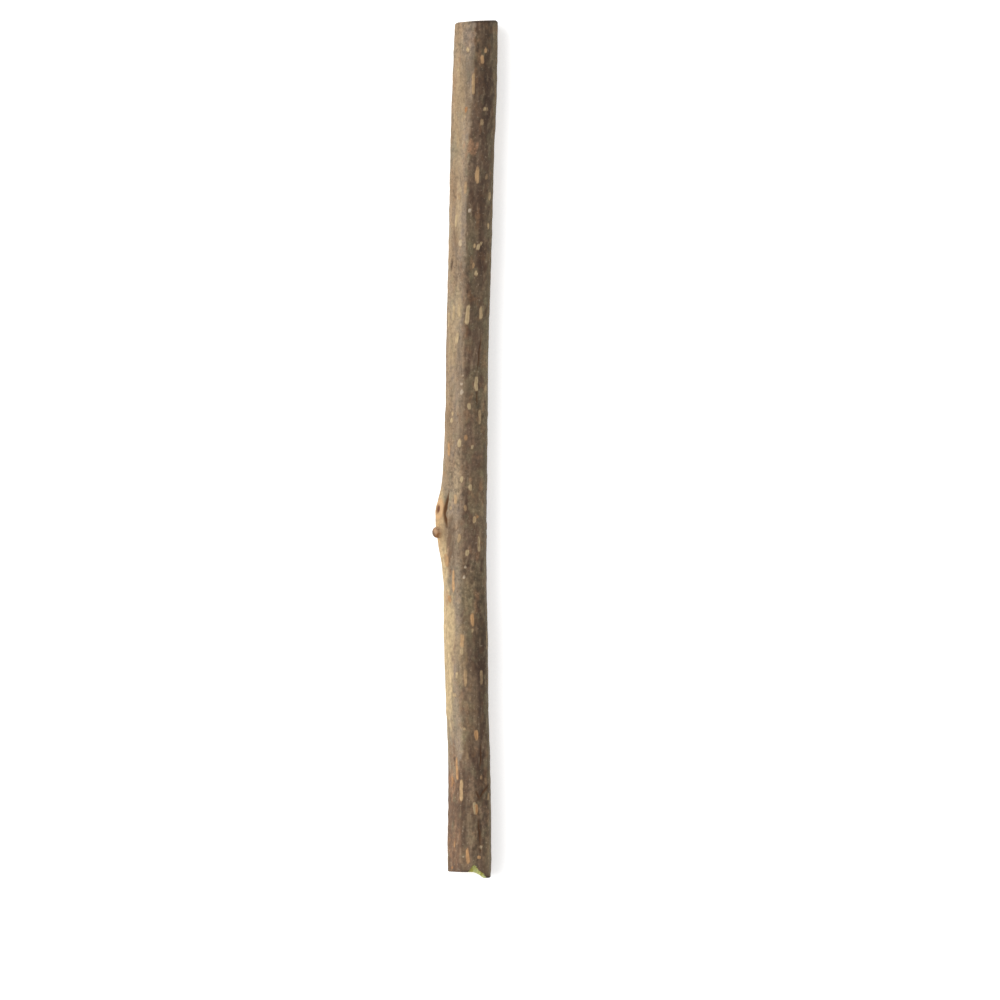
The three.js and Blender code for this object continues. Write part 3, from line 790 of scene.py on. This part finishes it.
def wall_slots(walls, masks):
    """The material of each face between rings."""
    corners = np.array(walls)
    share = masks["share"].ravel()[corners].mean(1)
    chip = masks["chip"].ravel()[corners].mean(1)
    return np.where(share < 1, CUT_WOOD, np.where(chip > CHIP_SHOWS, INNER_BARK, BARK))


def make_stick():
    """One mesh with its masks, materials and map."""
    rings, masks, rows = stick_rings()
    middles = np.stack((rings[0].mean(0), rings[-1].mean(0)))
    points = np.concatenate((rings.reshape(-1, 3), middles)) * MM
    walls, fans = ring_faces(len(rings))
    mesh = bpy.data.meshes.new("silvervine_stick")
    mesh.from_pydata(points.tolist(), [], walls + fans)
    add_masks(mesh, masks)
    for material in (bark_material(), cut_wood_material(), inner_bark_material()):
        mesh.materials.append(material)
    slots = np.concatenate((wall_slots(walls, masks), np.full(len(fans), CUT_WOOD)))
    mesh.polygons.foreach_set("material_index", slots)
    mesh.shade_smooth()
    unwrap(mesh, rows)
    stick = bpy.data.objects.new("silvervine_stick", mesh)
    bpy.context.scene.collection.objects.link(stick)
    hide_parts("stick")
    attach(stick, "root")


# Shader nodes
def shade(name):
    """A named colour, turned into a shader's linear one."""
    shown = np.array(COLOURS[name]) / 255
    linear = np.where(shown <= 0.04045, shown / 12.92, ((shown + 0.055) / 1.055) ** 2.4)
    return (*linear, 1)


def add_node(tree, kind, inputs, **settings):
    """Adds a shader node. inputs maps each socket to a number, a colour or another's output."""
    made = tree.nodes.new("ShaderNode" + kind)
    for name, value in settings.items():
        setattr(made, name, value)
    for socket, value in inputs.items():
        if isinstance(value, bpy.types.NodeSocket):
            tree.links.new(value, made.inputs[socket])
        else:
            made.inputs[socket].default_value = value
    return made


def mix(tree, below, above, amount, blend="MIX"):
    """Mixes two colours, which are sockets 6 and 7 of the node."""
    inputs = {0: amount, 6: below, 7: above}
    return add_node(tree, "Mix", inputs, data_type="RGBA", blend_type=blend).outputs[2]


def times(tree, one, other):
    return add_node(tree, "Math", {0: one, 1: other}, operation="MULTIPLY").outputs[0]


def plus(tree, one, other):
    return add_node(tree, "Math", {0: one, 1: other}, operation="ADD").outputs[0]


def less(tree, one, other):
    """One number less another, but never below 0."""
    inputs = {0: one, 1: other}
    return add_node(tree, "Math", inputs, operation="SUBTRACT", use_clamp=True).outputs[0]


def fade(tree, value, low, high):
    """0 below low and 1 above high, with a soft step between."""
    inputs = {0: value, 1: low, 2: high}
    return add_node(tree, "MapRange", inputs, interpolation_type="SMOOTHSTEP").outputs[0]


def spread(tree, value, low, high):
    """A noise's usual range, turned into low to high."""
    inputs = {0: value, 1: NOISE_RANGE[0], 2: NOISE_RANGE[1], 3: low, 4: high}
    return add_node(tree, "MapRange", inputs).outputs[0]


def mask(tree, name):
    """A mask that the mesh's points carry."""
    return add_node(tree, "Attribute", {}, attribute_name=name).outputs["Fac"]


def faded(tree, value, low, high, strength):
    """0 below low and the strength above high, with a soft step between."""
    return times(tree, fade(tree, value, low, high), strength)


def varied(tree, colour, noise, low, high):
    """Darkens and lightens a colour by a noise, from low times to high times."""
    return mix(tree, colour, spread(tree, noise, low, high), 1.0, "MULTIPLY")


def paint(tree, colour, name, strength):
    """Lays a named colour over another where the mask of the same name is."""
    return mix(tree, colour, shade(name), times(tree, mask(tree, name), strength))


def grain(tree, size, stretch, seed, detail=3.0):
    """Noise whose spots are size millimetres wide and stretched along the stick."""
    place = add_node(tree, "TexCoord", {}).outputs["Object"]
    per_metre = 1 / (size * MM)
    sizes = (per_metre, per_metre / stretch, per_metre)
    shift = (seed, seed * 1.7, seed * 2.3)
    moved = add_node(tree, "VectorMath", {0: place, 1: sizes, 2: shift}, operation="MULTIPLY_ADD")
    inputs = {"Vector": moved.outputs[0], "Scale": 1.0, "Detail": detail}
    return add_node(tree, "TexNoise", inputs).outputs["Fac"]


def new_material(name):
    """A material, with its tree and its shader."""
    material = bpy.data.materials.new(name)
    material.use_nodes = True
    return material, material.node_tree, material.node_tree.nodes["Principled BSDF"]


def connect(tree, shader, colour, roughness, height, depth):
    """Joins colour, roughness and a bump of depth millimetres to the shader."""
    bump = add_node(tree, "Bump", {"Strength": 1.0, "Distance": depth * MM, "Height": height})
    tree.links.new(colour, shader.inputs["Base Color"])
    tree.links.new(roughness, shader.inputs["Roughness"])
    tree.links.new(bump.outputs["Normal"], shader.inputs["Normal"])
    shader.inputs["Specular IOR Level"].default_value = DULL_SPECULAR


# Materials
def bark_noises(tree):
    """The noises that the bark's colours share: spot width in millimetres and stretch."""
    return {
        "patch": grain(tree, 4.5, 2.4, seed=2),
        "blotch": grain(tree, 1.7, 2.2, seed=1),
        "mottle": grain(tree, 0.5, 1.2, seed=3),
        "speck": grain(tree, 0.24, 1.3, seed=4),
        "streak": grain(tree, 0.45, 24, seed=5, detail=1),
        "stripe": grain(tree, 1.1, 12, seed=9, detail=1),
        "fleck": grain(tree, 0.42, 1.1, seed=6),
        "rust": grain(tree, 1.1, 1.8, seed=7),
        "lichen": grain(tree, 1.5, 1.5, seed=8),
    }


def pale_side(tree, noise):
    """The paler side, whose tint is partly painted light: olive patches, a greyer band of painted shade
    by the ridge and brown mottling.
    """
    colour = mix(tree, shade("pale"), shade("pale_olive"), fade(tree, noise["patch"], 0.42, 0.6))
    grey = plus(tree, times(tree, mask(tree, "ridge_shade_band"), 0.6), faded(tree, noise["blotch"], 0.5, 0.64, 0.5))
    colour = mix(tree, colour, shade("pale_grey"), grey)
    return mix(tree, colour, shade("pale_brown"), faded(tree, noise["mottle"], 0.52, 0.66, 0.5))


def deep_side(tree, noise):
    """The darker side, whose tint is partly painted shade: dark blotches, olive at its outer edge and a
    dark strip along it, which is partly painted shade as well.
    """
    colour = mix(tree, shade("deep"), shade("deep_olive"), fade(tree, noise["patch"], 0.42, 0.6))
    colour = mix(tree, colour, shade("deep_blotch"), faded(tree, noise["blotch"], 0.46, 0.62, 0.85))
    colour = paint(tree, colour, "olive", 0.65)
    # the dark strip, partly painted shade beside the ridge
    colour = paint(tree, colour, "strip", 0.8)
    return paint(tree, colour, "brown", 0.85)


def add_patches(tree, colour, noise):
    """Rusty and lichen coloured patches, and lighter and darker ones of three sizes."""
    for name in ("rust", "lichen"):
        colour = mix(tree, colour, shade(name), faded(tree, noise[name], 0.54, 0.68, 0.3))
    colour = varied(tree, colour, noise["patch"], 0.8, 1.2)
    colour = varied(tree, colour, noise["blotch"], 0.86, 1.14)
    return varied(tree, colour, noise["stripe"], 0.85, 1.15)


def add_stains(tree, colour, noise):
    """Stains, bare places, dark patches that are partly painted shade, and loose flakes."""
    colour = paint(tree, colour, "tan", spread(tree, noise["patch"], 0.8, 1.0))
    colour = paint(tree, colour, "cream", spread(tree, noise["mottle"], 0.65, 1.0))
    colour = paint(tree, colour, "red", spread(tree, noise["mottle"], 0.5, 0.9))
    colour = paint(tree, colour, "dark", spread(tree, noise["mottle"], 0.7, 1.0))
    return paint(tree, colour, "flake", 0.25)


def add_fine_grain(tree, colour, noise):
    """Mottling, streaks, dark flecks except on the bare places, pale specks and furrows."""
    rough = varied(tree, colour, noise["mottle"], 0.74, 1.26)
    colour = mix(tree, colour, rough, mask(tree, "grainy"))
    colour = varied(tree, colour, noise["streak"], 0.92, 1.08)
    colour = varied(tree, colour, noise["mottle"], 0.76, 1.24)
    colour = varied(tree, colour, noise["speck"], 0.87, 1.13)
    dirty = less(tree, 0.45, mask(tree, "tan"))
    colour = mix(tree, colour, shade("fleck"), faded(tree, noise["fleck"], 0.58, 0.7, dirty))
    colour = mix(tree, colour, shade("speck"), faded(tree, noise["speck"], 0.62, 0.74, 0.35))
    return paint(tree, colour, "furrow", 0.22)


def add_node_colours(tree, colour, noise):
    """The bud with its painted shade, the leaf scar, the creases and cracks with painted shade in them,
    and a darker edge by the cuts.
    """
    bud = mix(tree, shade("bud"), shade("bud_brown"), fade(tree, noise["mottle"], 0.44, 0.64))
    colour = mix(tree, colour, bud, mask(tree, "bud"))
    # painted shade on the bud's outer side, and orange brown painted shade at its foot
    colour = paint(tree, colour, "bud_outer_shade", 0.85)
    colour = paint(tree, colour, "bud_foot_shade", 0.8)
    colour = paint(tree, colour, "cork", spread(tree, noise["mottle"], 0.65, 1.0))
    colour = paint(tree, colour, "hollow", 0.95)
    # painted shade in the crease and the cracks
    colour = paint(tree, colour, "gap", 0.95)
    return paint(tree, colour, "rim", 0.8)


def add_lenticels(tree, colour, noise):
    """The lenticels, each in its own tone, with a darker slit and a ring of painted shade round the
    edge.
    """
    tone = mask(tree, "pore_tone")
    pore = mix(tree, shade("pore_grey"), shade("pore_straw"), fade(tree, tone, -0.8, -0.1))
    pore = mix(tree, pore, shade("pore_orange"), fade(tree, tone, 0.1, 1.0))
    pore = mix(tree, pore, shade("pore_rust"), fade(tree, tone, 1.0, 2.0))
    pore = paint(tree, pore, "slit", 0.4)
    pore = varied(tree, pore, noise["mottle"], 0.84, 1.14)
    cover = times(tree, mask(tree, "pore"), spread(tree, noise["mottle"], 0.75, 1.0))
    colour = mix(tree, colour, shade("pore_edge_shade"), faded(tree, cover, 0.1, 0.4, 0.5))
    return mix(tree, colour, pore, fade(tree, cover, 0.12, 0.85))


def bark_material():
    """The bark, in layers from the tints of its two sides, which are partly painted light and shade, up
    to the lenticels.
    """
    material, tree, shader = new_material("bark")
    noise = bark_noises(tree)
    colour = mix(tree, deep_side(tree, noise), pale_side(tree, noise), mask(tree, "pale_side_and_painted_light"))
    for add_layer in (add_patches, add_stains, add_fine_grain, add_node_colours, add_lenticels):
        colour = add_layer(tree, colour, noise)
    fine = times(tree, plus(tree, noise["speck"], noise["streak"]), 0.5)
    height = plus(tree, fine, times(tree, noise["mottle"], 0.6))
    connect(tree, shader, colour, spread(tree, noise["mottle"], 0.72, 0.95), height, depth=0.025)
    return material


def cut_wood_material():
    """Pale wood with rays, growth rings and a pith, a green line round it and the bark's edge."""
    material, tree, shader = new_material("cut_wood")
    share = mask(tree, "share")
    fibre = grain(tree, 0.3, 1, seed=11)
    vessel = grain(tree, 0.12, 1, seed=12, detail=1)
    colour = mix(tree, shade("wood"), shade("wood_ray"), fade(tree, mask(tree, "rays"), -1.2, 1.4))
    colour = mix(tree, colour, shade("pith"), fade(tree, share, PITH + 0.03, PITH - 0.03))
    for ring in GROWTH_RINGS:
        inner = fade(tree, share, ring - 0.04, ring)
        outer = fade(tree, share, ring + 0.015, ring)
        line = times(tree, inner, outer)
        colour = mix(tree, colour, shade("growth_ring"), times(tree, line, 0.6))
    colour = mix(tree, colour, shade("vessel"), faded(tree, vessel, 0.6, 0.68, 0.55))
    colour = mix(tree, colour, shade("green_line"), fade(tree, share, WOOD - 0.02, WOOD + 0.01))
    colour = mix(tree, colour, shade("bark_edge"), fade(tree, share, 0.94, 0.975))
    colour = varied(tree, colour, fibre, 0.86, 1.1)
    height = plus(tree, fibre, vessel)
    connect(tree, shader, colour, spread(tree, fibre, 0.65, 0.85), height, depth=0.03)
    return material


def inner_bark_material():
    """The green layer that shows where the bark is chipped off."""
    material, tree, shader = new_material("inner_bark")
    fibre = grain(tree, 0.18, 6, seed=21)
    blotch = grain(tree, 0.7, 1.5, seed=22)
    colour = mix(tree, shade("inner_bark"), shade("inner_bark_pale"), fade(tree, blotch, 0.38, 0.62))
    colour = varied(tree, colour, fibre, 0.82, 1.12)
    connect(tree, shader, colour, spread(tree, fibre, 0.5, 0.7), fibre, depth=0.03)
    return material


# Stage
def make_floor():
    """A wide white sweep under the stick."""
    mesh = bpy.data.meshes.new("floor")
    reach = FLOOR["reach"]
    corners = [(-reach, -reach, 0), (reach, -reach, 0), (reach, reach, 0), (-reach, reach, 0)]
    mesh.from_pydata(corners, [], [(0, 1, 2, 3)])
    material, _, shader = new_material("floor")
    shader.inputs["Base Color"].default_value = (FLOOR["white"], FLOOR["white"], FLOOR["white"], 1)
    shader.inputs["Roughness"].default_value = FLOOR["roughness"]
    shader.inputs["Specular IOR Level"].default_value = FLOOR["specular"]
    shader.inputs["Emission Color"].default_value = (1, 1, 1, 1)
    shader.inputs["Emission Strength"].default_value = FLOOR["glow"]
    mesh.materials.append(material)
    floor = bpy.data.objects.new("floor", mesh)
    bpy.context.scene.collection.objects.link(floor)


def make_key_light():
    """A square lamp that faces the stick."""
    light = bpy.data.lights.new("key", "AREA")
    light.size = KEY["size"]
    light.energy = KEY["power"]
    lamp = bpy.data.objects.new("key", light)
    lamp.location = KEY["place"]
    lamp.rotation_euler = (-Vector(KEY["place"])).to_track_quat("-Z", "Y").to_euler()
    bpy.context.scene.collection.objects.link(lamp)


def make_world():
    """An even white sky."""
    world = bpy.data.worlds.new("studio")
    world.use_nodes = True
    sky = world.node_tree.nodes["Background"]
    sky.inputs["Color"].default_value = (1, 1, 1, 1)
    sky.inputs["Strength"].default_value = WORLD_STRENGTH
    bpy.context.scene.world = world


def make_camera():
    """The camera looks straight down on the stick, as in the photo."""
    camera = bpy.data.cameras.new("camera")
    camera.lens, camera.sensor_width = LENS, SENSOR
    camera.clip_start, camera.clip_end = NEAREST, FARTHEST
    distance = PHOTO_WIDTH * LENS / SENSOR
    seen_from = bpy.data.objects.new("camera", camera)
    seen_from.location = (*PHOTO_CENTRE, WIDEST_HEIGHT + distance)
    bpy.context.scene.collection.objects.link(seen_from)
    bpy.context.scene.camera = seen_from


def main():
    make_stick()
    make_floor()
    make_key_light()
    make_world()
    make_camera()
    bpy.context.scene.view_settings.view_transform = "Standard"


main()
